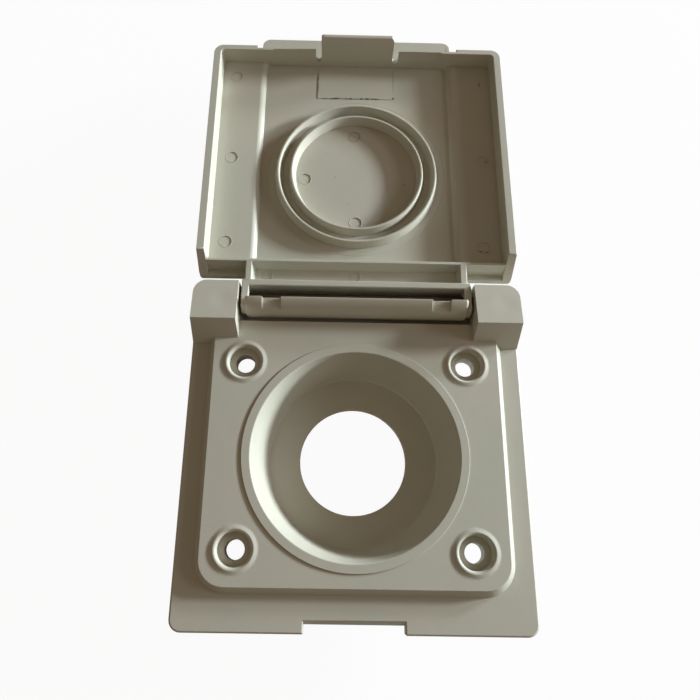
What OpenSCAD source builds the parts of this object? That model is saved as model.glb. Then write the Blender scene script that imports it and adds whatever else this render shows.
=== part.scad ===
// Flanged inlet housing with a hinged lid, lid shown folded right back.
// X runs along the hinge, Y from the latch side towards the hinge, Z away from the panel.
// The panel side of the flange is Z = 0 and the cup is centred on X = 0, Y = 0.

/* [Base] */
// Width of the base across the hinge direction
base_w = 90; // [86:0.5:102]
// Distance from the cup centre to the latch edge of the flange
base_drop = 43.5; // [42.5:0.5:52]
// Thickness of the flange
flange_t = 3.6; // [3.4:0.1:4]
// Plan radius of the two latch side corners
corner_r = 3; // [1:0.5:5]
// Height of the raised platform above the flange
platform_h = 2.3; // [1.8:0.1:2.4]
// Width of the flange margin beside the platform top
margin_w = 6.5; // [6:0.25:7]
// Plan width of the sloping platform wall
slope_w = 1.6; // [0.8:0.1:1.8]

/* [Cup] */
// Diameter of the cup mouth
mouth_d = 54.2; // [52:0.2:55]
// Diameter at the foot of the steep cup wall
cup_foot_d = 47.4; // [45:0.2:49]
// Depth of the seat under the ring face
cup_depth = 15.6; // [12:0.2:22]
// Diameter of the hole in the cup
hole_d = 29.8; // [24:0.2:32]
// Diameter of the seat around the hole
seat_d = 34.4; // [33:0.2:38]
// Width of the raised ring around the mouth
ring_w = 2.5; // [1.5:0.1:2.7]
// Height of the raised ring
ring_h = 0.3; // [0.2:0.05:0.5]
// Wall thickness of the cup
cup_t = 2; // [1.6:0.1:2.4]

/* [Screw bosses] */
// Screw pitch along the hinge
pitch_x = 60; // [60:0.25:64]
// Screw pitch across the hinge
pitch_y = 48.5; // [47.5:0.25:49]
// Diameter of the screw holes
screw_d = 5; // [4:0.1:5.6]
// Diameter of the counterbore
bore_d = 8.5; // [8:0.1:9]
// Diameter at the foot of the boss cone
boss_d = 12.7; // [12.2:0.1:13]
// Height of the boss crest above the platform
boss_h = 0.4; // [0.3:0.05:0.6]

/* [Hinge] */
// Distance from the cup centre to the hinge axis
hinge_y = 42.3; // [42:0.1:43]
// Height of the hinge axis above the panel
hinge_z = 6.8; // [6.75:0.05:6.9]
// Diameter of the hinge pin
pin_d = 3.2; // [2.6:0.1:3.6]
// Radial play of the lid on the pin
pin_play = 0.05; // [0.03:0.01:0.09]
// Radius of the lid's hinge barrel
barrel_r = 5.15; // [5:0.05:5.2]
// Wall thickness of the barrel
barrel_t = 1.75; // [1.4:0.05:2]
// Width of each hinge ear at its foot
ear_w = 12.9; // [12:0.1:14]
// Height of the ears above the panel at the front edge
ear_h = 12; // [11.9:0.1:12.2]
// Fall of the ear tops towards the hinge side
ear_fall = 1.5; // [0.5:0.1:1.8]
// Side gap between the ears and the lid's cheeks
cheek_gap = 0.5; // [0.4:0.05:1.2]

/* [Lid] */
// Gap between the closed lid's rim and the flange
rim_gap = 0.1; // [0.05:0.05:0.2]
// Thickness of the lid's middle panel
panel_t = 1.9; // [1.7:0.1:2.2]
// Height of the side strips above the middle panel
strip_rise = 1.3; // [0.8:0.1:1.4]
// Half width of the deeper middle panel
panel_half = 28.8; // [27:0.2:28.8]
// Thickness of the rim
rim_t = 2.1; // [1.6:0.05:2.3]
// Draft of the rim's inner side
rim_draft = 0.5; // [0.3:0.05:1]
// Length of the finger lip
lip_l = 9.4; // [6:0.2:12]
// Width of the finger lip
lip_w = 61.5; // [54:0.5:64]
// Thickness of the finger lip
lip_t = 1.2; // [1:0.1:1.6]

/* [Latch] */
// Width of the latch tab at its top
tab_w = 22.6; // [18:0.2:24]
// Reach of the latch tab above the rim
tab_reach = 4.7; // [4.4:0.1:5]
// Hold of the latch catch under the flange
catch_grip = 0.2; // [0.1:0.05:0.4]
// Width of the relief slots beside the tab
relief_w = 1.8; // [1.2:0.1:2.4]
// Side clearance of the tab in the notch of the flange
notch_gap = 1.15; // [1:0.05:2]
// Depth of the notch in the flange edge
notch_l = 3.05; // [2.9:0.05:3.4]

/* [Lid rings] */
// Outer diameter of the larger ring at its crest
ring_a_d = 47.9; // [46:0.1:49]
// Outer diameter of the smaller ring at its crest
ring_b_d = 39.8; // [37:0.1:41]
// Crest width of both rings
crest_w = 0.75; // [0.6:0.05:1.1]
// Height of both rings above the middle panel
rings_h = 2.9; // [2:0.1:3]
// Diameter of the faint raised disc under the rings
disc_d = 53.7; // [52:0.1:54]

/* [Hidden] */
$fn = 96;
e = 0.01;
half_w = base_w / 2;
top_z = flange_t + platform_h;
ring_z = top_z + ring_h;
ear_x = half_w - ear_w;
ear_slope = 0.524;
ear_foot_y = hinge_y - 12.4;
ear_top_y = ear_foot_y + (ear_h - flange_t) * ear_slope;
ear_back_y = hinge_y + 4;
bay_z = 1.4;
platform_y1 = hinge_y - 6.1;
seat_z = ring_z - cup_depth;
lid_z0 = 2 * hinge_z - ear_h;
rim_z = 2 * hinge_z - flange_t - rim_gap;
floor_z = lid_z0 + panel_t;
strip_z = floor_z + strip_rise;
ledge_z = lid_z0 + 0.9;
mid_y = 2 * hinge_y;
near_y = mid_y - ear_top_y + 0.2;
near_in = hinge_y + 12.35;
wall_top = hinge_y + 11.55;
wall_foot = hinge_y + 10.5;
wall_z = hinge_z + 0.2;
far_y = mid_y + base_drop - 0.5;
far_in = far_y - 1.75;
cheek_x = ear_x - cheek_gap;
cheek_t = 2;
frame_y0 = hinge_y + 2.65;
frame_y1 = hinge_y + 4.55;
frame_z = rim_z;
slot_y0 = hinge_y - 1.3;
pin_x0 = -half_w + 4;
pin_x1 = half_w - 1.4;
tab_z = rim_z + tab_reach;
notch_y = -base_drop + notch_l;
notch_w = tab_w + 2 * notch_gap;
notch_edge = notch_y - 0.9;
catch_z = 2 * hinge_z - 1.2;
barb_y = mid_y - notch_edge - catch_grip;

// Arc as a list of points, seg pieces from angle a0 to a1
function arc(cx, cy, r, a0, a1, seg) = [
    for (i = [0:seg]) [
        cx + r * cos(a0 + (a1 - a0) * i / seg),
        cy + r * sin(a0 + (a1 - a0) * i / seg)
    ]
];

// Rounded rectangle: ra rounds the corners at y0, rb those at y1
function rrect(x0, x1, y0, y1, ra, rb) = concat(
    arc(x1 - ra, y0 + ra, ra, -90, 0, 8),
    arc(x1 - rb, y1 - rb, rb, 0, 90, 8),
    arc(x0 + rb, y1 - rb, rb, 90, 180, 8),
    arc(x0 + ra, y0 + ra, ra, 180, 270, 8)
);

// Solid through a pile of outlines with equal point counts
module pile(outlines, heights) {
    n = len(outlines[0]);
    m = len(outlines);
    pts = [
        for (k = [0:m - 1]) for (p = outlines[k]) [p[0], p[1], heights[k]]
    ];
    sides = [
        for (k = [0:m - 2]) for (i = [0:n - 1]) [
            k * n + i,
            (k + 1) * n + i,
            (k + 1) * n + (i + 1) % n,
            k * n + (i + 1) % n
        ]
    ];
    low = [[for (i = [0:n - 1]) i]];
    high = [[for (i = [0:n - 1]) m * n - 1 - i]];
    polyhedron(points = pts, faces = concat(low, sides, high));
}

// Slice with its outline in the YZ plane, from x0 to x1
module slice(x0, x1) {
    translate([x0, 0, 0])
        rotate([90, 0, 90])
            linear_extrude(height = x1 - x0)
                children();
}

// Slice with its outline in the XZ plane, from y0 to y1
module cross(y0, y1) {
    translate([0, y1, 0])
        rotate([90, 0, 0])
            linear_extrude(height = y1 - y0)
                children();
}

// Round bar along the hinge axis
module bar(r, x0, x1) {
    translate([x0, hinge_y, hinge_z])
        rotate([0, 90, 0])
            cylinder(r = r, h = x1 - x0);
}

// The same shape on the left and on the right
module both() {
    children();
    mirror([1, 0, 0])
        children();
}

// Places at the four screw axes
module at_screws() {
    for (sx = [-1, 1])
        for (sy = [-1, 1])
            translate([sx * pitch_x / 2, sy * pitch_y / 2, 0])
                children();
}

// Flange plate with the latch notch and the bay under the hinge
module flange() {
    difference() {
        pile(
            [
                rrect(-half_w, half_w, -base_drop, ear_back_y, corner_r, 4),
                rrect(-half_w, half_w, -base_drop, ear_back_y, corner_r, 4),
                rrect(-half_w + 0.35, half_w - 0.35, -base_drop + 0.35, ear_back_y - 0.35, corner_r - 0.35, 3.65)
            ],
            [0, flange_t - 0.35, flange_t]
        );
        translate([-notch_w / 2, -base_drop - 1, -1])
            cube([notch_w, notch_edge + base_drop + 1, flange_t + 2]);
        slice(-notch_w / 2, notch_w / 2)
            polygon([
                [notch_edge - e, flange_t - 1.5],
                [notch_edge, flange_t - 1.5],
                [notch_y, flange_t],
                [notch_y, flange_t + 1],
                [notch_edge - e, flange_t + 1]
            ]);
        slice(-notch_w / 2, notch_w / 2)
            polygon([
                [notch_edge - e, -1],
                [notch_y, -1],
                [notch_y, 1.3],
                [notch_edge - e, 1.3]
            ]);
        translate([-ear_x - 0.3, platform_y1, bay_z])
            cube([2 * ear_x + 0.6, ear_back_y - platform_y1 + 1, 10]);
    }
}

// Raised platform with sloping walls
module platform() {
    x1 = half_w - margin_w;
    y0 = -base_drop + margin_w + 4;
    pile(
        [
            rrect(-x1 - slope_w, x1 + slope_w, y0 - slope_w - 0.1, platform_y1, 8.1, 0.2),
            rrect(-x1 - 0.2, x1 + 0.2, y0 - 0.2, platform_y1, 6.7, 0.2),
            rrect(-x1, x1, y0, platform_y1, 6.5, 0.2)
        ],
        [flange_t - e, top_z - 0.15, top_z]
    );
}

// Recess behind the platform
module back_recess() {
    x1 = half_w - margin_w - 1.5;
    y0 = -base_drop + margin_w + 5.6;
    translate([0, 0, -1])
        linear_extrude(height = platform_h + 1)
            polygon(rrect(-x1, x1, y0, platform_y1 - 8.5, 5, 5));
}

// Plan of the right ear, its outer back corner well rounded
function ear_plan(x0, x1, y0, y1) = concat(
    arc(x1 - 0.1, y0 + 0.1, 0.1, -90, 0, 2),
    arc(x1 - 4, y1 - 4, 4, 0, 90, 12),
    arc(x0 + 0.3, y1 - 0.3, 0.3, 90, 180, 4),
    arc(x0 + 0.1, y0 + 0.1, 0.1, 180, 270, 2)
);

// One hinge ear, right side
module ear() {
    f0 = ear_foot_y - flange_t * ear_slope;
    h = ear_h + 0.6;
    x0 = ear_x - 0.25;
    difference() {
        pile(
            [
                ear_plan(x0, half_w, f0 - 0.5, ear_back_y),
                ear_plan(x0, half_w, f0 - 0.5, ear_back_y),
                ear_plan(x0 + 0.6, half_w - 0.5, f0 - 0.5, ear_back_y - 0.05)
            ],
            [0, 0.2, h]
        );
        slice(ear_x - 5, half_w + 5)
            polygon([
                [f0 - 5, -1],
                [f0 - 0.6, -1],
                [f0, 0],
                [ear_foot_y, flange_t],
                [ear_top_y - 0.13, ear_h - 0.25],
                [ear_top_y + 0.12, ear_h - 0.02],
                [ear_back_y - 0.3, ear_h - ear_fall],
                [ear_back_y - 0.05, ear_h - ear_fall - 0.25],
                [ear_back_y + 1, ear_h - ear_fall - 0.3],
                [ear_back_y + 1, h + 1],
                [f0 - 5, h + 1]
            ]);
    }
}

// Outside of the cup, solid
module cup_solid() {
    rotate_extrude()
        polygon([
            [0, ring_z],
            [mouth_d / 2 + ring_w - 0.15, ring_z],
            [mouth_d / 2 + ring_w - 0.04, ring_z - 0.05],
            [mouth_d / 2 + ring_w, ring_z - 0.15],
            [mouth_d / 2 + ring_w, top_z - 0.5],
            [mouth_d / 2 + cup_t, 2],
            [cup_foot_d / 2 + cup_t, seat_z + 1],
            [seat_d / 2 + cup_t, seat_z - cup_t],
            [0, seat_z - cup_t]
        ]);
}

// Inside of the cup with its hole
module cup_space() {
    edge = 0.45;
    rotate_extrude()
        polygon(concat(
            [
                [0, seat_z - cup_t - 1],
                [hole_d / 2, seat_z - cup_t - 1],
                [hole_d / 2, seat_z - 0.1],
                [hole_d / 2 + 0.1, seat_z],
                [seat_d / 2, seat_z + 0.3],
                [cup_foot_d / 2 - 2, seat_z + 1.05],
                [cup_foot_d / 2 - 0.5, seat_z + 1.45],
                [cup_foot_d / 2, seat_z + 2]
            ],
            arc(mouth_d / 2 + edge, ring_z - edge, edge, 180, 90, 5),
            [
                [mouth_d / 2 + edge, ring_z + 1],
                [0, ring_z + 1]
            ]
        ));
}

// Screw boss outside
module boss_solid() {
    crest = bore_d / 2 + 0.75;
    rotate_extrude()
        polygon(concat(
            [
                [0, 0],
                [boss_d / 2 - 0.85, 0],
                [boss_d / 2 - 0.85, top_z - 0.5],
                [boss_d / 2, top_z - 0.5],
                [boss_d / 2, top_z]
            ],
            arc(crest, top_z + boss_h - 0.6, 0.6, 72, 90, 2),
            [[0, top_z + boss_h]]
        ));
}

// Screw boss inside: soft edge, counterbore, slightly dished floor
module boss_space() {
    rim = top_z + boss_h;
    rotate_extrude()
        polygon([
            [0, flange_t + 0.1],
            [screw_d / 2, flange_t + 0.1],
            [bore_d / 2 - 0.05, flange_t + 0.3],
            [bore_d / 2, rim - 0.75],
            [bore_d / 2 + 0.1, rim - 0.42],
            [bore_d / 2 + 0.28, rim - 0.18],
            [bore_d / 2 + 0.5, rim - 0.05],
            [bore_d / 2 + 0.75, rim],
            [bore_d / 2 + 0.75, rim + 1],
            [0, rim + 1]
        ]);
    translate([0, 0, -1])
        cylinder(d = screw_d, h = flange_t + 2);
}

// Base housing in one piece
module base_housing() {
    color([0.7, 0.68, 0.62])
        difference() {
            union() {
                difference() {
                    union() {
                        flange();
                        platform();
                        both()
                            ear();
                    }
                    back_recess();
                }
                cup_solid();
                at_screws()
                    boss_solid();
            }
            cup_space();
            at_screws()
                boss_space();
            bar(pin_d / 2, pin_x0, half_w + 1);
        }
}

// Lid shell outside
module lid_shell() {
    pile(
        [
            rrect(-half_w + 0.7, half_w - 0.7, near_y - 1, far_y - 0.7, 0.5, 2.3),
            rrect(-half_w + 0.2, half_w - 0.2, near_y - 1, far_y - 0.2, 0.5, 2.8),
            rrect(-half_w, half_w, near_y - 1, far_y, 0.5, 3),
            rrect(-half_w, half_w, near_y - 1, far_y, 0.5, 3),
            rrect(-half_w + 0.1, half_w - 0.1, near_y - 1, far_y - 0.1, 0.5, 2.9)
        ],
        [lid_z0, lid_z0 + 0.5, lid_z0 + 2, rim_z - 0.1, rim_z]
    );
}

// Lid cavity above the strips
module lid_cavity() {
    x1 = half_w - rim_t;
    pile(
        [
            rrect(-x1 + rim_draft, x1 - rim_draft, near_in, far_in - 0.2, 0.2, 0.9),
            rrect(-x1, x1, near_in, far_in, 0.2, 1.2),
            rrect(-x1, x1, near_in, far_in, 0.2, 1.2)
        ],
        [strip_z, rim_z, rim_z + 1]
    );
}

// Outline of the middle panel, wider by w on both sides
function panel_plan(w) =
    rrect(-panel_half - w, panel_half + w, near_in + 0.1, far_in - 0.2, 0.2, 1.2);

// Deeper middle panel, its sides steep at the foot and soft at the top
module middle_panel() {
    difference() {
        pile(
            [
                panel_plan(0),
                panel_plan(0.65),
                panel_plan(1.25),
                panel_plan(1.9),
                panel_plan(2.4)
            ],
            [floor_z, floor_z + 0.75, strip_z - 0.18, strip_z, strip_z + 0.1]
        );
        translate([-tab_w / 2 - 1.05, far_in - 12.75, floor_z - 1])
            cube([tab_w + 1.65, 20, 1.12]);
    }
}

// The two rings on the faint disc
module rings() {
    disc_z = floor_z + 0.15;
    crest_z = floor_z + rings_h;
    translate([0, mid_y, 0]) {
        rotate_extrude()
            polygon([
                [ring_b_d / 2 - 1.5, floor_z - 1],
                [disc_d / 2, floor_z - 1],
                [disc_d / 2, floor_z],
                [disc_d / 2 - 0.8, disc_z],
                [ring_b_d / 2 - 1.5, disc_z]
            ]);
        for (d = [ring_a_d, ring_b_d])
            rotate_extrude()
                polygon(concat(
                    [
                        [d / 2 - crest_w - 0.9, floor_z - 1],
                        [d / 2 + 0.65, floor_z - 1],
                        [d / 2 + 0.65, disc_z]
                    ],
                    arc(d / 2 - 0.24, crest_z - 0.25, 0.25, 10, 90, 4),
                    arc(d / 2 - crest_w + 0.24, crest_z - 0.25, 0.25, 90, 170, 4),
                    [[d / 2 - crest_w - 0.9, disc_z]]
                ));
    }
}

// Inner side faces of the rim, carried on to the hinge end
module rim_space() {
    x1 = half_w - rim_t;
    k = rim_draft / (rim_z - strip_z);
    x0 = x1 - k * (rim_z - wall_z);
    cross(near_y - 3, near_in + 0.5)
        polygon([
            [-x0 + 0.05, ledge_z],
            [x0 - 0.05, ledge_z],
            [x0, wall_z],
            [x1 + k, rim_z + 1],
            [-x1 - k, rim_z + 1],
            [-x0, wall_z]
        ]);
}

// Everything cut away at the hinge end of the lid
module near_cut() {
    low_z = ledge_z + 0.25;
    intersection() {
        rim_space();
        slice(-half_w, half_w)
            polygon([
                [near_y - 3, low_z],
                [near_y + 1.5, low_z],
                [near_y + 1.6, ledge_z],
                [wall_foot, ledge_z],
                [wall_top, wall_z],
                [near_in, wall_z],
                [near_in + 0.5, rim_z + 2],
                [near_y - 3, rim_z + 2]
            ]);
    }
    slice(-half_w - 1, half_w + 1)
        polygon([
            [near_y - 3, lid_z0 - 1],
            [near_y - 0.5, lid_z0 - 1],
            [near_y, lid_z0],
            [near_y + 0.6, low_z + e],
            [near_y - 3, low_z + e]
        ]);
    both()
        slice(half_w - rim_t - rim_draft, half_w + 1)
            polygon([
                [near_y - 3, low_z - e],
                [near_y + 0.6, low_z - e],
                [near_y + 5.3, rim_z],
                [near_y + 5.3, rim_z + 1],
                [near_y - 3, rim_z + 1]
            ]);
}

// Pocket between the lid's hinge frame and its end wall
module hinge_pocket() {
    x1 = cheek_x - cheek_t + 0.05;
    pile(
        [
            rrect(-x1 + 0.85, x1 - 0.85, frame_y1, wall_foot, 0.2, 0.2),
            rrect(-x1, x1, frame_y1, wall_top, 0.2, 0.2),
            rrect(-x1, x1, frame_y1, wall_top, 0.2, 0.2)
        ],
        [floor_z, wall_z, wall_z + 1]
    );
}

// Side view of one cheek
module cheek_outline() {
    difference() {
        union() {
            translate([hinge_y, hinge_z])
                circle(r = 4.4);
            translate([hinge_y, lid_z0])
                square([frame_y1 - hinge_y, frame_z - lid_z0]);
        }
        translate([hinge_y - 8, frame_z])
            square([16, 4]);
        translate([hinge_y - 8, lid_z0 - 4])
            square([16, 4]);
    }
}

// Hinge frame: cross wall, cheeks and the dividers behind them
module hinge_frame() {
    slice(-cheek_x, cheek_x)
        polygon([
            [frame_y0, lid_z0],
            [near_y + 2, lid_z0],
            [near_y + 2, floor_z],
            [frame_y1, floor_z],
            [frame_y1, frame_z - 0.2],
            [frame_y1 - 0.2, frame_z],
            [frame_y0, frame_z]
        ]);
    slice(-cheek_x + 0.2, cheek_x - 0.2)
        polygon([
            [frame_y1 - e, lid_z0 + e],
            [near_in, lid_z0 + e],
            [near_in, wall_z - e],
            [frame_y1 - e, wall_z - e]
        ]);
    both()
        slice(cheek_x - cheek_t, cheek_x)
            cheek_outline();
}

// Hinge barrel, a slotted tube with its ends rounded
module barrel() {
    x1 = cheek_x - 1.15;
    r0 = barrel_r - barrel_t;
    r1 = barrel_r;
    difference() {
        translate([0, hinge_y, hinge_z])
            rotate([0, 90, 0])
                rotate_extrude()
                    polygon([
                        [r0, -x1],
                        [r1 - 0.8, -x1],
                        [r1 - 0.25, -x1 + 0.25],
                        [r1, -x1 + 0.8],
                        [r1, x1 - 0.8],
                        [r1 - 0.25, x1 - 0.25],
                        [r1 - 0.8, x1],
                        [r0, x1]
                    ]);
        translate([-x1 - 1, slot_y0, hinge_z])
            cube([2 * x1 + 2, 10, 10]);
        translate([-x1 - 1, frame_y0 + 0.6, hinge_z - 10])
            cube([2 * x1 + 2, 10, 20]);
        both()
            slice(20.6, 25.6)
                polygon([
                    [slot_y0 - 5, hinge_z + 2.24],
                    [slot_y0 - 3, hinge_z + 2.85],
                    [slot_y0, hinge_z + 3.95],
                    [slot_y0 + 1, hinge_z + 3.95],
                    [slot_y0 + 1, hinge_z + 8],
                    [slot_y0 - 5, hinge_z + 8]
                ]);
    }
}

// Thinner middle of the far rim and the relief slots beside the tab
module far_cuts() {
    x1 = lip_w / 2 + 0.6;
    slot_z = rim_z - 3.4;
    both()
        translate([tab_w / 2, far_in - 3, slot_z]) {
            cube([relief_w, 12, 10]);
            translate([relief_w / 2, 0, 0])
                rotate([-90, 0, 0])
                    cylinder(d = relief_w, h = 12);
        }
    slice(-x1, x1)
        polygon([
            [far_y - 0.4, lid_z0 + lip_t],
            [far_y - 0.9, rim_z],
            [far_y - 0.9, rim_z + 1],
            [far_y + 3, rim_z + 1],
            [far_y + 3, lid_z0 + lip_t]
        ]);
    slice(-26.5, 26.5)
        polygon([
            [far_in - 1, strip_z + 0.2],
            [far_in - 0.3, strip_z + 0.2],
            [far_in + 0.35, rim_z],
            [far_in + 0.35, rim_z + 1],
            [far_in - 1, rim_z + 1]
        ]);
}

// Finger lip beyond the rim, its top sloping down towards the rim
module finger_lip() {
    x1 = lip_w / 2;
    top = lid_z0 + lip_t;
    difference() {
        translate([0, 0, lid_z0])
            linear_extrude(height = lip_t)
                polygon(rrect(-x1, x1, far_in + 1, far_y + lip_l, 0.5, 2.5));
        slice(-x1 + 1, x1 - 1)
            polygon([
                [far_y - 0.45, top - 0.4],
                [far_y + lip_l - 1, top],
                [far_y + lip_l - 1, top + 1],
                [far_y - 0.45, top + 1]
            ]);
    }
}

// Latch tab with its catch
module latch_tab() {
    yo = far_y + 0.45;
    yi = far_in + 0.1;
    intersection() {
        slice(-tab_w / 2 - 1, tab_w / 2 + 1)
            polygon([
                [yo, lid_z0 + 0.6],
                [yo, tab_z - 0.55],
                [yo - 0.16, tab_z - 0.16],
                [yo - 0.55, tab_z],
                [yi + 1.1, tab_z],
                [yi + 0.75, tab_z - 0.12],
                [barb_y + 0.08, catch_z + 0.7],
                [barb_y, catch_z + 0.55],
                [barb_y, catch_z + 0.35],
                [yi + 0.15, catch_z - 0.05],
                [yi, floor_z],
                [yi, lid_z0 + 0.6]
            ]);
        cross(far_in - 5, far_y + 5)
            polygon(concat(
                [[-tab_w / 2, 0], [tab_w / 2, 0]],
                arc(tab_w / 2 - 1.2, tab_z - 1.2, 1.2, 0, 90, 8),
                arc(-tab_w / 2 + 1.2, tab_z - 1.2, 1.2, 90, 180, 8)
            ));
    }
}

// Shallow marks left by the ejector pins
module ejector_marks() {
    for (p = [[-38.2, 35.1], [-37.85, 5], [-37.9, -23.7], [38.75, 5.1], [37.2, -24.2]])
        translate([p[0], mid_y + p[1], strip_z - 0.12])
            cylinder(r = 1.85, h = 0.5);
    for (p = [[-0.5, 14.2], [-15.5, -1.3], [-0.1, -16.1]])
        translate([p[0], mid_y + p[1], floor_z - 0.12])
            cylinder(r = 1.85, h = 0.5);
    for (x = [-25.5, -0.2])
        translate([x, hinge_y + 8.6, floor_z - 0.12])
            cylinder(r = 1.5, h = 0.5);
}

// Lid in one piece, folded right back
module lid() {
    color([0.72, 0.7, 0.64])
        difference() {
            union() {
                difference() {
                    union() {
                        difference() {
                            lid_shell();
                            lid_cavity();
                            near_cut();
                            far_cuts();
                        }
                        hinge_frame();
                        barrel();
                        finger_lip();
                        latch_tab();
                    }
                    middle_panel();
                    hinge_pocket();
                }
                rings();
            }
            ejector_marks();
            bar(pin_d / 2 + pin_play, -cheek_x - 1, cheek_x + 1);
        }
}

// Hinge pin, pressed into the ears
module hinge_pin() {
    color([0.6, 0.6, 0.6])
        bar(pin_d / 2, pin_x0, pin_x1);
}

base_housing();
lid();
hinge_pin();
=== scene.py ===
"""Looks of a hinged inlet housing in warm grey moulded plastic, lid folded right back.

Every length below is in millimetres unless its name ends in _m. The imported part
gives the shapes; this script rounds their edges, dresses them and lights them.
"""

import logging
import math
from collections.abc import Callable
from dataclasses import dataclass, field
from enum import Enum
from typing import Any

import bmesh
import bpy
from mathutils import Matrix, Vector

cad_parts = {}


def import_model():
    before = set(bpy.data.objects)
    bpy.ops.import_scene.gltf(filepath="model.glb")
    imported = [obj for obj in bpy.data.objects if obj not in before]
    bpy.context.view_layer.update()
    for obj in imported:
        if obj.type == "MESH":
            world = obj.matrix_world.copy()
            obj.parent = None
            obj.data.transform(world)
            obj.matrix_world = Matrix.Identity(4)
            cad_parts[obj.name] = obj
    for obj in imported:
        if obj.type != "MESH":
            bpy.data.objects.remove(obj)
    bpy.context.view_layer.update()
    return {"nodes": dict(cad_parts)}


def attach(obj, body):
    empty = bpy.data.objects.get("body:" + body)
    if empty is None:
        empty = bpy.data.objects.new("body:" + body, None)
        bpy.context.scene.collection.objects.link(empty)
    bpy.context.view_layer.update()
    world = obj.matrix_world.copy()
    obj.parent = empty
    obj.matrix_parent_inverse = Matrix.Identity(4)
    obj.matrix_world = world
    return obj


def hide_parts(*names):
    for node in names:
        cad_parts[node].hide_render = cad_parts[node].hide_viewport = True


LOG = logging.getLogger("inlet_housing")
MM = 0.001

SRGB_KNEE = 0.04045
SRGB_SLOPE = 12.92
SRGB_SHIFT = 0.055
SRGB_POWER = 2.4
WHITE = (1.0, 1.0, 1.0, 1.0)
# Lengths in metres under which an edge has no direction worth using
TINY_M = 1e-7
# Loss of length per width under which an edge isn't shortened at all
TINY_LOSS = 1e-6

Point = tuple[float, float, float]
Colour = tuple[float, float, float]


class Body(Enum):
    """The rigid bodies that pieces ride on."""

    BASE = "base"
    LID = "lid"


class Slot(Enum):
    """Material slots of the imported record."""

    PLASTIC = "housing_plastic"
    STEEL = "pin_steel"


def linear(colour: Colour) -> tuple[float, float, float, float]:
    """Turn a display colour into the scene's linear one.

    Args:
        colour: Red, green and blue from 0 to 1, as a screen shows them.

    Returns:
        The linear colour with an alpha of 1.
    """
    parts = [
        part / SRGB_SLOPE
        if part <= SRGB_KNEE
        else ((part + SRGB_SHIFT) / (1.0 + SRGB_SHIFT)) ** SRGB_POWER
        for part in colour
    ]
    return (parts[0], parts[1], parts[2], 1.0)


@dataclass(frozen=True)
class Noise:
    """A noise pattern, and the part of its range that a ramp stretches out.

    It has per_mm waves to the millimetre and detail finer octaves of strength rough.
    """

    per_mm: float
    detail: float
    rough: float
    low: float = 0.0
    high: float = 1.0


class Tree:
    """A short hand for adding and joining nodes of one tree."""

    def __init__(self, tree: bpy.types.NodeTree) -> None:
        """Keep the tree.

        Args:
            tree: The material or geometry tree to work on.
        """
        self.tree = tree

    def add(self, kind: str, **settings: Any) -> bpy.types.Node:
        """Add a node and set its properties and unlinked inputs.

        Args:
            kind: The node's type name.
            **settings: Property names, or input names with spaces as underscores.

        Returns:
            The new node.
        """
        node = self.tree.nodes.new(kind)
        for name, value in settings.items():
            if hasattr(node, name):
                setattr(node, name, value)
            else:
                node.inputs[name.replace("_", " ")].default_value = value
        return node

    def join(self, out: bpy.types.NodeSocket, into: bpy.types.NodeSocket) -> None:
        """Link an output to an input.

        Args:
            out: The socket that gives the value.
            into: The socket that takes it.
        """
        self.tree.links.new(out, into)

    def maths(self, operation: str, *values: Any) -> bpy.types.NodeSocket:
        """Add a maths node.

        Args:
            operation: The node's operation.
            *values: Sockets or numbers for its inputs, in order.

        Returns:
            The node's output.
        """
        node = self.add("ShaderNodeMath", operation=operation)
        for socket, value in zip(node.inputs, values):
            if isinstance(value, bpy.types.NodeSocket):
                self.join(value, socket)
            else:
                socket.default_value = value
        return node.outputs[0]

    def ramp(self, value: bpy.types.NodeSocket, low: float, high: float, to_low: float,
             to_high: float) -> bpy.types.NodeSocket:
        """Map a value from one range to another, clamped and with eased ends.

        Args:
            value: The socket to map.
            low: The input's lower end.
            high: The input's upper end.
            to_low: The result at the lower end.
            to_high: The result at the upper end.

        Returns:
            The mapped socket.
        """
        node = self.add("ShaderNodeMapRange")
        node.interpolation_type = "SMOOTHSTEP"
        self.join(value, node.inputs["Value"])
        ends = {"From Min": low, "From Max": high, "To Min": to_low, "To Max": to_high}
        for name, number in ends.items():
            node.inputs[name].default_value = number
        return node.outputs["Result"]

    def noise(self, coords: bpy.types.NodeSocket, noise: Noise) -> bpy.types.NodeSocket:
        """Add a noise pattern on coordinates in millimetres.

        Args:
            coords: The coordinates.
            noise: The pattern.

        Returns:
            The pattern, about 0 to 1.
        """
        node = self.add("ShaderNodeTexNoise")
        node.inputs["Scale"].default_value = noise.per_mm
        node.inputs["Detail"].default_value = noise.detail
        node.inputs["Roughness"].default_value = noise.rough
        self.join(coords, node.inputs["Vector"])
        return node.outputs["Fac"]

    def pattern(self, coords: bpy.types.NodeSocket, noise: Noise, to_low: float = 0.0,
                to_high: float = 1.0) -> bpy.types.NodeSocket:
        """Add a noise pattern with its middle range stretched out.

        Args:
            coords: The coordinates.
            noise: The pattern with its range.
            to_low: The result at the range's lower end and below.
            to_high: The result at the range's upper end and above.

        Returns:
            The stretched pattern.
        """
        return self.ramp(self.noise(coords, noise), noise.low, noise.high, to_low, to_high)


@dataclass(frozen=True)
class Dimple:
    """A shallow round sink or a dark scuff at one place of a surface."""

    at: Point
    radius: float
    strength: float


@dataclass(frozen=True)
class Streak:
    """A thin dark streak of dirt, given by its centre and half its size each way; along the raised
    witness pad it is painted shade as well as dirt.
    """

    at: Point
    half: Point
    strength: float


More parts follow.
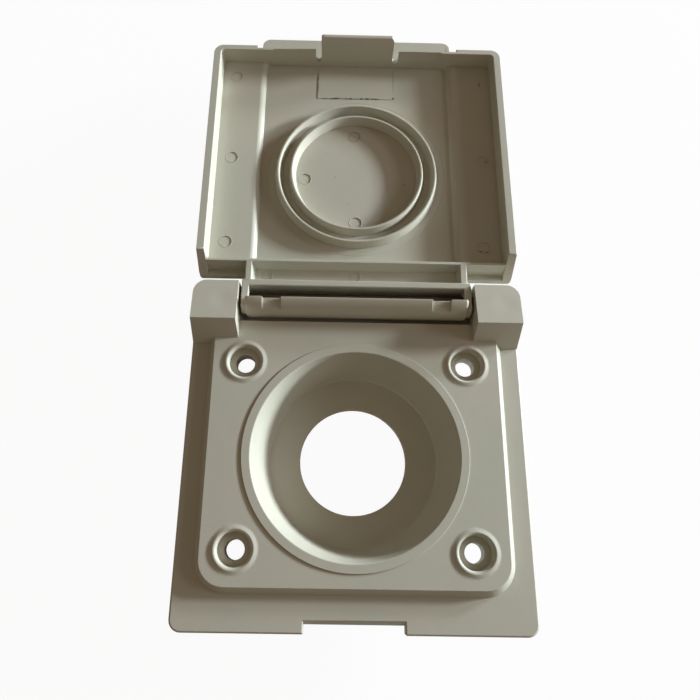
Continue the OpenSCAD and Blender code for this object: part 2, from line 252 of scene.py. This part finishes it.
@dataclass(frozen=True)
class MouldedPlastic:
    """Satin plastic from a textured mould: mottled tone, fine grain, specks and scratches, with
    painted shade in its crevices.
    """

    name: str
    tone: Colour = (0.775, 0.758, 0.70)
    tone_cool: Colour = (0.755, 0.752, 0.695)
    # Colour of real dirt, specks, scuffs and streaks, and also of the painted shade in crevices
    tone_dirt_and_shade: Colour = (0.36, 0.32, 0.26)
    roughness: float = 0.47
    roughness_spread: float = 0.07
    refraction: float = 1.5
    specular: float = 0.45
    sheen: Noise = Noise(0.5, 4.0, 0.6, 0.3, 0.7)
    mottle: Noise = Noise(0.045, 4.0, 0.55, 0.3, 0.7)
    grain: Noise = Noise(2.6, 2.0, 0.6)
    grain_depth: float = 0.012
    ripple: Noise = Noise(0.08, 2.0, 0.4)
    ripple_depth: float = 0.08
    speck_per_mm: float = 0.11
    speck_share: float = 0.05
    speck_core: float = 0.012
    speck_rim: float = 0.03
    speck_strength: float = 0.75
    patches: Noise = Noise(0.3, 5.0, 0.65, 0.35, 0.65)
    patch_least: float = 0.35
    # Painted shade: ambient occlusion within this reach darkens the colour in crevices and
    # creases, in uneven patches
    crevice_reach: float = 1.6
    crevice_shut: float = 0.25
    crevice_open: float = 0.85
    crevice_shade_strength: float = 0.3
    crevice_samples: int = 6
    breaks: Noise = Noise(0.9, 3.0, 0.7, 0.38, 0.56)
    break_least: float = 0.15
    streak_core: float = 0.55
    sinks: tuple[Dimple, ...] = ()
    scuffs: tuple[Dimple, ...] = ()
    streaks: tuple[Streak, ...] = ()

    def _streak(self, tree: Tree, coords: bpy.types.NodeSocket,
                streak: Streak) -> bpy.types.NodeSocket:
        """Fade from a streak's middle to its long rim.

        Args:
            tree: The material's tree.
            coords: Coordinates in millimetres.
            streak: The place, size and strength.

        Returns:
            The fading value.
        """
        shifted = tree.add("ShaderNodeVectorMath", operation="SUBTRACT")
        tree.join(coords, shifted.inputs[0])
        shifted.inputs[1].default_value = streak.at
        squeezed = tree.add("ShaderNodeVectorMath", operation="DIVIDE")
        tree.join(shifted.outputs["Vector"], squeezed.inputs[0])
        squeezed.inputs[1].default_value = streak.half
        away = tree.add("ShaderNodeVectorMath", operation="LENGTH")
        tree.join(squeezed.outputs["Vector"], away.inputs[0])
        return tree.ramp(away.outputs["Value"], self.streak_core, 1.0, streak.strength, 0.0)

    def _spot(self, tree: Tree, coords: bpy.types.NodeSocket,
              spot: Dimple) -> bpy.types.NodeSocket:
        """Fade from the spot's strength at its centre to zero at its radius.

        Args:
            tree: The material's tree.
            coords: Coordinates in millimetres.
            spot: The place, radius and strength.

        Returns:
            The fading value.
        """
        away = tree.add("ShaderNodeVectorMath", operation="DISTANCE")
        tree.join(coords, away.inputs[0])
        away.inputs[1].default_value = spot.at
        return tree.ramp(away.outputs["Value"], 0.0, spot.radius, spot.strength, 0.0)

    def _colour(self, tree: Tree, coords: bpy.types.NodeSocket) -> bpy.types.NodeSocket:
        """Mottled plastic with specks, painted shade in crevices, scuffs and streaks.

        Args:
            tree: The material's tree.
            coords: Coordinates in millimetres.

        Returns:
            The colour socket.
        """
        mottle = tree.pattern(coords, self.mottle)
        body = tree.add("ShaderNodeMix", data_type="RGBA")
        body.inputs["A"].default_value = linear(self.tone)
        body.inputs["B"].default_value = linear(self.tone_cool)
        tree.join(mottle, body.inputs["Factor"])

        cells = tree.add("ShaderNodeTexVoronoi")
        cells.inputs["Scale"].default_value = self.speck_per_mm
        tree.join(coords, cells.inputs["Vector"])
        rare = tree.add("ShaderNodeSeparateColor")
        tree.join(cells.outputs["Color"], rare.inputs["Color"])
        chosen = tree.maths("LESS_THAN", rare.outputs["Red"], self.speck_share)
        near = tree.ramp(cells.outputs["Distance"], self.speck_core, self.speck_rim, 1.0, 0.0)
        specks = tree.maths("MULTIPLY", chosen, near)

        # Painted shade: the colour darkens where ambient occlusion finds crevices and creases
        crease = tree.add("ShaderNodeAmbientOcclusion", samples=self.crevice_samples)
        crease.inputs["Distance"].default_value = self.crevice_reach * MM
        painted_shade = tree.ramp(crease.outputs["AO"], self.crevice_shut, self.crevice_open,
                         self.crevice_shade_strength, 0.0)
        patch = tree.pattern(coords, self.patches, to_low=self.patch_least)
        painted_shade = tree.maths("MULTIPLY", painted_shade, patch)

        specks = tree.maths("MULTIPLY", specks, self.speck_strength)
        grime_and_shade = tree.maths("MAXIMUM", specks, painted_shade)
        for scuff in self.scuffs:
            fade = tree.maths("MULTIPLY", self._spot(tree, coords, scuff), patch)
            grime_and_shade = tree.maths("MAXIMUM", grime_and_shade, fade)
        if self.streaks:
            broken = tree.pattern(coords, self.breaks, to_low=self.break_least)
            for streak in self.streaks:
                fade = tree.maths("MULTIPLY", self._streak(tree, coords, streak), broken)
                grime_and_shade = tree.maths("MAXIMUM", grime_and_shade, fade)
        mixed = tree.add("ShaderNodeMix", data_type="RGBA")
        tree.join(grime_and_shade, mixed.inputs["Factor"])
        tree.join(body.outputs["Result"], mixed.inputs["A"])
        mixed.inputs["B"].default_value = linear(self.tone_dirt_and_shade)
        return mixed.outputs["Result"]

    def _height(self, tree: Tree, coords: bpy.types.NodeSocket) -> bpy.types.NodeSocket:
        """Mould grain, slow ripples and sinks, in millimetres.

        Args:
            tree: The material's tree.
            coords: Coordinates in millimetres.

        Returns:
            The height socket.
        """
        grain = tree.maths("MULTIPLY", tree.noise(coords, self.grain), self.grain_depth)
        ripple = tree.maths("MULTIPLY", tree.noise(coords, self.ripple), self.ripple_depth)
        height = tree.maths("ADD", grain, ripple)
        for sink in self.sinks:
            height = tree.maths("SUBTRACT", height, self._spot(tree, coords, sink))
        return height

    def build(self) -> bpy.types.Material:
        """Make the material.

        Returns:
            The material, ready for a slot.
        """
        material = bpy.data.materials.new(self.name)
        material.use_nodes = True
        tree = Tree(material.node_tree)
        shader = material.node_tree.nodes["Principled BSDF"]
        place = tree.add("ShaderNodeTexCoord")
        scale = tree.add("ShaderNodeVectorMath", operation="SCALE")
        scale.inputs["Scale"].default_value = 1.0 / MM
        tree.join(place.outputs["Object"], scale.inputs[0])
        coords = scale.outputs["Vector"]

        tree.join(self._colour(tree, coords), shader.inputs["Base Color"])
        sheen = tree.pattern(coords, self.sheen, self.roughness - self.roughness_spread,
                             self.roughness + self.roughness_spread)
        tree.join(sheen, shader.inputs["Roughness"])
        bump = tree.add("ShaderNodeBump")
        bump.inputs["Distance"].default_value = MM
        bump.inputs["Strength"].default_value = 1.0
        tree.join(self._height(tree, coords), bump.inputs["Height"])
        tree.join(bump.outputs["Normal"], shader.inputs["Normal"])
        shader.inputs["IOR"].default_value = self.refraction
        shader.inputs["Specular IOR Level"].default_value = self.specular
        return material


@dataclass(frozen=True)
class DullSteel:
    """Drawn steel wire gone dull, with fine lines along its length."""

    name: str
    tone: Colour = (0.42, 0.36, 0.3)
    tone_stain: Colour = (0.27, 0.2, 0.15)
    roughness: float = 0.38
    smoother: float = 0.08
    rougher: float = 0.12
    metallic: float = 0.9
    lines: Noise = Noise(1.0, 3.0, 0.6, 0.2, 0.8)
    lines_per_m: Point = (120.0, 3000.0, 3000.0)
    line_depth: float = 0.01
    stain_low: float = 0.35
    stain_high: float = 0.7

    def build(self) -> bpy.types.Material:
        """Make the material.

        Returns:
            The material, ready for a slot.
        """
        material = bpy.data.materials.new(self.name)
        material.use_nodes = True
        tree = Tree(material.node_tree)
        shader = material.node_tree.nodes["Principled BSDF"]
        place = tree.add("ShaderNodeTexCoord")
        stretch = tree.add("ShaderNodeVectorMath", operation="MULTIPLY")
        stretch.inputs[1].default_value = self.lines_per_m
        tree.join(place.outputs["Object"], stretch.inputs[0])
        lines = tree.noise(stretch.outputs["Vector"], self.lines)
        stain = tree.add("ShaderNodeMix", data_type="RGBA")
        share = tree.ramp(lines, self.stain_low, self.stain_high, 0.0, 1.0)
        tree.join(share, stain.inputs["Factor"])
        stain.inputs["A"].default_value = linear(self.tone)
        stain.inputs["B"].default_value = linear(self.tone_stain)
        tree.join(stain.outputs["Result"], shader.inputs["Base Color"])
        sheen = tree.ramp(lines, self.lines.low, self.lines.high,
                          self.roughness - self.smoother, self.roughness + self.rougher)
        tree.join(sheen, shader.inputs["Roughness"])
        bump = tree.add("ShaderNodeBump")
        bump.inputs["Distance"].default_value = self.line_depth * MM
        tree.join(lines, bump.inputs["Height"])
        tree.join(bump.outputs["Normal"], shader.inputs["Normal"])
        shader.inputs["Metallic"].default_value = self.metallic
        return material


@dataclass(frozen=True)
class EdgeRule:
    """How wide the edges of a moulding are rounded, and where its shading breaks.

    widest and least are widths; share is the part of the room beside an edge that its
    rounding may take, and length_share the part of its own length. An outer edge over
    sharp_deg is rounded, an inner one over foot_deg stays sharp, a run of edges ends
    where it turns by corner_deg, and shading breaks over crease_deg once all is round.
    """

    widest: float = 0.38
    least: float = 0.06
    share: float = 0.3
    length_share: float = 0.4
    sharp_deg: float = 28.0
    foot_deg: float = 19.0
    corner_deg: float = 40.0
    crease_deg: float = 40.0
    segments: int = 3
    merge: float = 0.002
    flat_deg: float = 0.05
    alike: float = 0.4
    turn_limit: float = 2.6
    flat_weight: int = 90


@dataclass
class Moulding:
    """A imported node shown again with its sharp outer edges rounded.

    cuts_x and cuts_y are the planes along which flat faces stay split when the packed
    triangles are merged.
    """

    node: str
    piece: str
    body: Body
    slot: Slot
    finish: MouldedPlastic | DullSteel
    edges: EdgeRule = field(default_factory=EdgeRule)
    cuts_x: tuple[float, ...] = ()
    cuts_y: tuple[float, ...] = ()

    def _room(self, edge: bmesh.types.BMEdge) -> float:
        """How far the faces beside an edge reach before their next sharp edge.

        Args:
            edge: The edge to be rounded.

        Returns:
            The smaller reach of its two faces, in metres.
        """
        mid = (edge.verts[0].co + edge.verts[1].co) / 2
        along = (edge.verts[1].co - edge.verts[0].co).normalized()
        least = 1.0
        for face in edge.link_faces:
            for other in face.edges:
                if other is edge or set(other.verts) & set(edge.verts):
                    continue
                run = other.verts[1].co - other.verts[0].co
                if run.length < TINY_M or abs(run.normalized().dot(along)) < self.edges.alike:
                    continue
                start = other.verts[0].co
                part = max(0.0, min(1.0, (mid - start).dot(run) / run.length_squared))
                least = min(least, (mid - (start + run * part)).length)
        return least

    def _tightness(self, edge: bmesh.types.BMEdge, chosen: set) -> float:
        """Say how fast an edge shortens when its faces are cut back beside it.

        Args:
            edge: The edge to be rounded.
            chosen: All edges to be rounded.

        Returns:
            The loss of length per unit of width, for the worse of its two faces.
        """
        worst = 0.0
        for loop in edge.link_loops:
            loss = 0.0
            before, after = loop.link_loop_prev, loop.link_loop_next
            for other, first, second in ((before, before, loop), (after, loop, after)):
                into = first.link_loop_next.vert.co - first.vert.co
                away = second.link_loop_next.vert.co - second.vert.co
                if other.edge in chosen and min(into.length, away.length) > TINY_M:
                    if into.cross(away).dot(loop.face.normal) > 0.0:
                        turn = min(into.angle(away), self.edges.turn_limit)
                        loss += math.tan(turn / 2)
            worst = max(worst, loss)
        return worst

    def _runs(self, chosen: set) -> list[set[bmesh.types.BMEdge]]:
        """Gather the edges that follow each other without a corner.

        Args:
            chosen: All edges to be rounded.

        Returns:
            The runs; each is to have a single width.
        """
        left = set(chosen)
        runs = []
        while left:
            start = left.pop()
            run, ends = {start}, [start]
            while ends:
                edge = ends.pop()
                for vert in edge.verts:
                    for other in vert.link_edges:
                        if other not in left:
                            continue
                        into = vert.co - edge.other_vert(vert).co
                        away = other.other_vert(vert).co - vert.co
                        if into.angle(away, math.pi) < math.radians(self.edges.corner_deg):
                            left.discard(other)
                            run.add(other)
                            ends.append(other)
            runs.append(run)
        return runs

    def _widths(self, work: bmesh.types.BMesh) -> dict[bmesh.types.BMEdge, float]:
        """Give each run of sharp edges the widest rounding that it has room for.

        Args:
            work: The merged mesh.

        Returns:
            The width of each edge to be rounded, in metres.
        """
        rule = self.edges
        sharp = math.radians(rule.sharp_deg)
        chosen = {
            edge for edge in work.edges if edge.is_convex and edge.calc_face_angle(0.0) > sharp
        }
        widths = {}
        for run in self._runs(chosen):
            width = rule.widest * MM
            for edge in run:
                width = min(width, rule.share * self._room(edge))
                loss = self._tightness(edge, chosen)
                if loss > TINY_LOSS:
                    width = min(width, rule.length_share * edge.calc_length() / loss)
            if width > rule.least * MM:
                widths.update({edge: width for edge in run})
        return widths

    def _weigh(self, mesh: bpy.types.Mesh) -> None:
        """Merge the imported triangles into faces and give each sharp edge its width.

        Args:
            mesh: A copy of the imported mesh.
        """
        rule = self.edges
        work = bmesh.new()
        work.from_mesh(mesh)
        bmesh.ops.remove_doubles(work, verts=work.verts, dist=rule.merge * MM)
        for normal, places in ((Vector((1, 0, 0)), self.cuts_x), (Vector((0, 1, 0)), self.cuts_y)):
            for place in places:
                parts = work.verts[:] + work.edges[:] + work.faces[:]
                cut = bmesh.ops.bisect_plane(
                    work, geom=parts, plane_co=normal * place * MM, plane_no=normal, dist=TINY_M)
                for part in cut["geom_cut"]:
                    if isinstance(part, bmesh.types.BMEdge):
                        part.seam = True
        bmesh.ops.dissolve_limit(
            work, angle_limit=math.radians(rule.flat_deg), verts=work.verts, edges=work.edges,
            delimit={"SEAM"})
        work.normal_update()
        weight = work.edges.layers.float.new("bevel_weight_edge")
        widths = self._widths(work)
        for edge in work.edges:
            limit = rule.sharp_deg if edge.is_convex else rule.foot_deg
            if edge in widths:
                edge[weight] = widths[edge] / (rule.widest * MM)
            elif edge.calc_face_angle(0.0) > math.radians(limit):
                edge.smooth = False
        work.to_mesh(mesh)
        work.free()

    def _round(self, draft: bpy.types.Object) -> None:
        """Add the modifier that rounds the weighted edges.

        Args:
            draft: The object to round.
        """
        bevel = draft.modifiers.new("rounding", "BEVEL")
        bevel.limit_method = "WEIGHT"
        bevel.width = self.edges.widest * MM
        bevel.segments = self.edges.segments
        bevel.use_clamp_overlap = False
        bevel.miter_outer = "MITER_ARC"

    def _shade(self, draft: bpy.types.Object) -> None:
        """Add the modifier that keeps flat faces flat in the shading.

        Args:
            draft: The object to shade.
        """
        weighted = draft.modifiers.new("shading", "WEIGHTED_NORMAL")
        weighted.weight = self.edges.flat_weight
        weighted.keep_sharp = True

    def _crease(self, mesh: bpy.types.Mesh) -> None:
        """Mark the edges that stay sharp beside the roundings.

        Args:
            mesh: The rounded mesh.
        """
        work = bmesh.new()
        work.from_mesh(mesh)
        for face in work.faces:
            face.smooth = True
        for edge in work.edges:
            if edge.calc_face_angle(0.0) > math.radians(self.edges.crease_deg):
                edge.smooth = False
        work.to_mesh(mesh)
        work.free()

    def _finished(self, mesh: bpy.types.Mesh,
                  add: Callable[[bpy.types.Object], None]) -> bpy.types.Mesh:
        """Run one modifier on a mesh.

        Args:
            mesh: The mesh to start from.
            add: The method that adds the modifier.

        Returns:
            The new mesh.
        """
        draft = bpy.data.objects.new(self.piece + "_draft", mesh)
        bpy.context.scene.collection.objects.link(draft)
        add(draft)
        graph = bpy.context.evaluated_depsgraph_get()
        made = bpy.data.meshes.new_from_object(draft.evaluated_get(graph), depsgraph=graph)
        bpy.data.objects.remove(draft)
        return made

    def build(self, nodes: dict[str, bpy.types.Object]) -> bpy.types.Object:
        """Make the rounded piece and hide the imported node.

        Args:
            nodes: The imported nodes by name.

        Returns:
            The new piece.
        """
        mesh = nodes[self.node].data.copy()
        mesh.materials.clear()
        self._weigh(mesh)
        rounded = self._finished(mesh, self._round)
        self._crease(rounded)
        made = self._finished(rounded, self._shade)
        piece = bpy.data.objects.new(self.piece, made)
        bpy.context.scene.collection.objects.link(piece)
        made.materials.clear()
        made.materials.append(self.finish.build())
        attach(piece, self.body.value)
        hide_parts(self.node)
        LOG.info("%s: %d faces", self.piece, len(made.polygons))
        return piece


@dataclass
class FlashLines:
    """The fine round lines that the mould leaves round pins and inserts, grown from points."""

    places: tuple[tuple[Point, float], ...]
    piece: str
    body: Body
    slot: Slot
    finish: MouldedPlastic
    line_radius: float = 0.07
    around: int = 96
    sides: int = 6

    def _points(self) -> bpy.types.Object:
        """Make the bare points, each with its ring's radius.

        Returns:
            The object that carries them.
        """
        mesh = bpy.data.meshes.new(self.piece + "_points")
        mesh.from_pydata([Vector(at) * MM for at, _ in self.places], [], [])
        radii = mesh.attributes.new("ring_radius", "FLOAT", "POINT")
        for value, (_, radius) in zip(radii.data, self.places):
            value.value = radius * MM
        points = bpy.data.objects.new(self.piece + "_points", mesh)
        bpy.context.scene.collection.objects.link(points)
        return points

    def _tree(self) -> bpy.types.NodeTree:
        """Build the geometry tree: a thin ring on each point.

        Returns:
            The tree, with the line's radius, its counts and the finish as inputs.
        """
        group = bpy.data.node_groups.new("flash_lines", "GeometryNodeTree")
        face = group.interface
        face.new_socket("Points", in_out="INPUT", socket_type="NodeSocketGeometry")
        for name, kind in (("Line Radius", "NodeSocketFloat"), ("Around", "NodeSocketInt"),
                           ("Sides", "NodeSocketInt"), ("Finish", "NodeSocketMaterial")):
            face.new_socket(name, in_out="INPUT", socket_type=kind)
        face.new_socket("Rings", in_out="OUTPUT", socket_type="NodeSocketGeometry")
        tree = Tree(group)
        given = tree.add("NodeGroupInput")
        radius = tree.add("GeometryNodeInputNamedAttribute", data_type="FLOAT")
        radius.inputs["Name"].default_value = "ring_radius"
        circle = tree.add("GeometryNodeCurvePrimitiveCircle")
        circle.inputs["Radius"].default_value = 1.0
        tree.join(given.outputs["Around"], circle.inputs["Resolution"])
        placed = tree.add("GeometryNodeInstanceOnPoints")
        tree.join(given.outputs["Points"], placed.inputs["Points"])
        tree.join(circle.outputs["Curve"], placed.inputs["Instance"])
        tree.join(radius.outputs["Attribute"], placed.inputs["Scale"])
        real = tree.add("GeometryNodeRealizeInstances")
        tree.join(placed.outputs["Instances"], real.inputs["Geometry"])
        profile = tree.add("GeometryNodeCurvePrimitiveCircle")
        tree.join(given.outputs["Sides"], profile.inputs["Resolution"])
        tree.join(given.outputs["Line Radius"], profile.inputs["Radius"])
        swept = tree.add("GeometryNodeCurveToMesh")
        tree.join(real.outputs["Geometry"], swept.inputs["Curve"])
        tree.join(profile.outputs["Curve"], swept.inputs["Profile Curve"])
        dressed = tree.add("GeometryNodeSetMaterial")
        tree.join(swept.outputs["Mesh"], dressed.inputs["Geometry"])
        tree.join(given.outputs["Finish"], dressed.inputs["Material"])
        tree.join(dressed.outputs["Geometry"], tree.add("NodeGroupOutput").inputs["Rings"])
        return group

    def build(self) -> bpy.types.Object:
        """Make the rings as one plain mesh.

        Returns:
            The new piece.
        """
        points = self._points()
        grow = points.modifiers.new("rings", "NODES")
        grow.node_group = self._tree()
        finish = self.finish.build()
        given = {"Line Radius": self.line_radius * MM, "Around": self.around,
                 "Sides": self.sides, "Finish": finish}
        for item in grow.node_group.interface.items_tree:
            if item.name in given:
                grow[item.identifier] = given[item.name]
        graph = bpy.context.evaluated_depsgraph_get()
        made = bpy.data.meshes.new_from_object(points.evaluated_get(graph), depsgraph=graph)
        bpy.data.objects.remove(points)
        work = bmesh.new()
        work.from_mesh(made)
        bmesh.ops.recalc_face_normals(work, faces=work.faces)
        for face in work.faces:
            face.smooth = True
        work.to_mesh(made)
        work.free()
        rings = bpy.data.objects.new(self.piece, made)
        bpy.context.scene.collection.objects.link(rings)
        made.materials.clear()
        made.materials.append(finish)
        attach(rings, self.body.value)
        LOG.info("%s: %d faces", self.piece, len(made.polygons))
        return rings


@dataclass(frozen=True)
class Lamp:
    """A rectangular soft lamp that faces the object."""

    name: str
    azimuth: float
    elevation: float
    away_m: float
    wide_m: float
    high_m: float
    power: float
    colour: Colour
    aim: Point = (0.0, 40.0, 0.0)

    def place(self) -> bpy.types.Object:
        """Put the lamp into the scene.

        Returns:
            The lamp's object.
        """
        data = bpy.data.lights.new(self.name, "AREA")
        data.shape = "RECTANGLE"
        data.size = self.wide_m
        data.size_y = self.high_m
        data.energy = self.power
        data.color = self.colour
        up, turn = math.radians(self.elevation), math.radians(self.azimuth)
        way = Vector((math.cos(up) * math.cos(turn), math.cos(up) * math.sin(turn), math.sin(up)))
        lamp = bpy.data.objects.new(self.name, data)
        lamp.location = Vector(self.aim) * MM + way * self.away_m
        lamp.rotation_mode = "QUATERNION"
        lamp.rotation_quaternion = (-way).to_track_quat("-Z", "Y")
        bpy.context.scene.collection.objects.link(lamp)
        return lamp


KEY = Lamp("key", azimuth=15.0, elevation=13.0, away_m=1.2, wide_m=0.18, high_m=0.10, power=19.0,
           colour=(0.86, 0.96, 1.0))
SIDE = Lamp("side", azimuth=31.0, elevation=12.0, away_m=1.2, wide_m=0.2, high_m=0.10, power=10.2,
            colour=(0.80, 0.91, 1.0))
HIGH = Lamp("high", azimuth=0.0, elevation=22.0, away_m=1.2, wide_m=0.4, high_m=0.2, power=2.6,
            colour=(0.93, 0.93, 1.0))


@dataclass(frozen=True)
class Studio:
    """Camera, floor, low lamps from the right and a weak warm room.

    The camera's place and turns in radians come from the photograph's own edges.
    """

    lens: float = 31.98
    sensor: float = 36.0
    clip_near_m: float = 0.005
    clip_far_m: float = 20.0
    camera_at: Point = (-7.651, -25.568, 166.636)
    turn_x: float = -0.3156904
    turn_y: float = 0.0081948
    turn_z: float = -0.0156875
    shift_x: float = 0.0250
    shift_y: float = 0.0050
    floor_z: float = -11.6
    floor_reach_m: float = 2.0
    floor_shade: float = 0.8
    floor_roughness: float = 0.8
    lamps: tuple[Lamp, ...] = (KEY, HIGH, SIDE)
    room: Colour = (0.81, 0.72, 0.62)
    room_strength: float = 0.31
    white_share: float = 0.95

    def camera(self) -> None:
        """Place the camera at the photograph's view."""
        data = bpy.data.cameras.new("camera")
        data.lens = self.lens
        data.sensor_width = self.sensor
        data.shift_x = self.shift_x
        data.shift_y = self.shift_y
        data.clip_start = self.clip_near_m
        data.clip_end = self.clip_far_m
        view = (Matrix.Rotation(self.turn_z, 3, "Z") @ Matrix.Rotation(self.turn_x, 3, "X")
                @ Matrix.Rotation(self.turn_y, 3, "Y"))
        camera = bpy.data.objects.new("camera", data)
        place = Matrix.Translation(Vector(self.camera_at) * MM)
        camera.matrix_world = place @ view.transposed().to_4x4()
        bpy.context.scene.collection.objects.link(camera)
        bpy.context.scene.camera = camera

    def _seen_white(self, tree: Tree, shade: bpy.types.NodeSocket) -> bpy.types.NodeSocket:
        """Show white to the camera's straight and transmitted rays, and the shade to others.

        Args:
            tree: The tree to add to.
            shade: The shader that lights and is lit.

        Returns:
            The mixed shader.
        """
        path = tree.add("ShaderNodeLightPath")
        seen = tree.maths("MAXIMUM", path.outputs["Is Camera Ray"],
                          path.outputs["Is Transmission Ray"])
        seen = tree.maths("MULTIPLY", seen, self.white_share)
        white = tree.add("ShaderNodeEmission")
        white.inputs["Color"].default_value = WHITE
        mix = tree.add("ShaderNodeMixShader")
        tree.join(seen, mix.inputs[0])
        tree.join(shade, mix.inputs[1])
        tree.join(white.outputs[0], mix.inputs[2])
        return mix.outputs[0]

    def floor(self) -> None:
        """Lay the pale floor under the cup."""
        mesh = bpy.data.meshes.new("floor")
        reach = self.floor_reach_m
        height = self.floor_z * MM
        corners = ((-reach, -reach), (reach, -reach), (reach, reach), (-reach, reach))
        mesh.from_pydata([(x, y, height) for x, y in corners], [], [(0, 1, 2, 3)])
        floor = bpy.data.objects.new("floor", mesh)
        bpy.context.scene.collection.objects.link(floor)
        material = bpy.data.materials.new("pale_floor")
        material.use_nodes = True
        tree = Tree(material.node_tree)
        shader = material.node_tree.nodes["Principled BSDF"]
        shade = self.floor_shade
        shader.inputs["Base Color"].default_value = (shade, shade, shade, 1.0)
        shader.inputs["Roughness"].default_value = self.floor_roughness
        out = material.node_tree.nodes["Material Output"]
        tree.join(self._seen_white(tree, shader.outputs[0]), out.inputs["Surface"])
        mesh.materials.append(material)

    def world(self) -> None:
        """Set the weak warm room light, white to the camera."""
        world = bpy.data.worlds.new("room")
        bpy.context.scene.world = world
        world.use_nodes = True
        tree = Tree(world.node_tree)
        room = world.node_tree.nodes["Background"]
        room.inputs["Color"].default_value = linear(self.room)
        room.inputs["Strength"].default_value = self.room_strength
        white = tree.add("ShaderNodeBackground")
        path = tree.add("ShaderNodeLightPath")
        mix = tree.add("ShaderNodeMixShader")
        tree.join(path.outputs["Is Camera Ray"], mix.inputs[0])
        tree.join(room.outputs[0], mix.inputs[1])
        tree.join(white.outputs[0], mix.inputs[2])
        white.inputs["Color"].default_value = WHITE
        tree.join(mix.outputs[0], world.node_tree.nodes["World Output"].inputs["Surface"])

    def build(self) -> None:
        """Make the whole studio."""
        self.camera()
        for lamp in self.lamps:
            lamp.place()
        self.floor()
        self.world()
        bpy.context.scene.view_settings.view_transform = "Standard"


# Heights of the lid's middle panel and of its side strips, lid open
PANEL_Z = 3.5
STRIP_Z = 4.8

# Shallow sinks in the ear tops, over the thick ears
SINK_RADIUS = 4.2
SINK_DEPTH = 0.06
BASE_SINKS = (
    Dimple((-36.4, 40.2, 11.3), SINK_RADIUS, SINK_DEPTH),
    Dimple((40.1, 40.3, 11.3), SINK_RADIUS, SINK_DEPTH),
)

# Dark marks of the lid: specks, the witness lines at the tab (painted shade along the raised pad's
# edges, with dirt), scratches on the right strip
LID_SCUFFS = (
    Dimple((14.57, 81.9, PANEL_Z), 0.5, 0.95),
    Dimple((-6.4, 84.2, PANEL_Z), 0.35, 0.9),
    Dimple((-2.4, 74.9, PANEL_Z), 0.35, 0.8),
    Dimple((39.7, 89.7, STRIP_Z), 0.9, 0.9),
)
LID_STREAKS = (
    # The first five streaks line the raised witness pad at the tab: painted shade at its foot,
    # with dirt
    Streak((-0.1, 113.2, PANEL_Z), (12.2, 0.42, 0.5), 0.95),
    Streak((-8.5, 113.0, PANEL_Z), (3.2, 0.3, 0.5), 1.0),
    Streak((11.7, 113.5, PANEL_Z), (0.5, 0.5, 0.5), 1.0),
    Streak((-12.2, 119.5, PANEL_Z), (0.22, 6.4, 0.5), 0.85),
    Streak((11.8, 119.8, PANEL_Z), (0.22, 6.4, 0.5), 0.5),
    Streak((36.3, 59.3, STRIP_Z), (1.1, 0.22, 0.4), 1.0),
    Streak((38.2, 59.1, STRIP_Z), (0.9, 0.2, 0.4), 1.0),
    Streak((39.2, 118.5, STRIP_Z), (0.3, 1.3, 0.4), 0.8),
)

# Ejector pin marks, x and y, and the edge of the faint disc under the rings
STRIP_MARKS = ((-38.2, 119.7), (-37.85, 89.6), (-37.9, 60.9), (38.75, 89.7), (37.2, 60.4))
FLOOR_MARKS = ((-0.5, 98.8), (-15.5, 83.3), (-0.1, 68.5))
POCKET_MARKS = ((-25.5, 50.9), (-0.2, 50.9))
MARK_RADIUS = 1.85
POCKET_MARK_RADIUS = 1.5
DISC_CENTRE = (0.0, 84.6, PANEL_Z)
DISC_RADIUS = 26.85
RING_PLACES = (
    *(((x, y, STRIP_Z), MARK_RADIUS) for x, y in STRIP_MARKS),
    *(((x, y, PANEL_Z), MARK_RADIUS) for x, y in FLOOR_MARKS),
    *(((x, y, PANEL_Z), POCKET_MARK_RADIUS) for x, y in POCKET_MARKS),
    (DISC_CENTRE, DISC_RADIUS),
)


def main() -> None:
    """Build the studio and every piece."""
    logging.basicConfig(level=logging.INFO, format="%(message)s")
    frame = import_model()
    Studio().build()
    pieces = (
        Moulding("base_housing", "housing", Body.BASE, Slot.PLASTIC,
                 MouldedPlastic("housing_plastic", sinks=BASE_SINKS),
                 cuts_x=(-30.0, 0.0, 30.0), cuts_y=(42.3,)),
        Moulding("lid", "folded_lid", Body.LID, Slot.PLASTIC,
                 MouldedPlastic("lid_plastic", scuffs=LID_SCUFFS, streaks=LID_STREAKS),
                 cuts_x=(-38.0, 0.0, 38.0), cuts_y=(42.3, 50.9, 84.6)),
        Moulding("hinge_pin", "steel_pin", Body.BASE, Slot.STEEL, DullSteel("pin_steel")),
    )
    for piece in pieces:
        piece.build(frame["nodes"])
    FlashLines(RING_PLACES, "flash_lines", Body.LID, Slot.PLASTIC,
               MouldedPlastic("flash_plastic")).build()


if __name__ == "__main__":
    main()
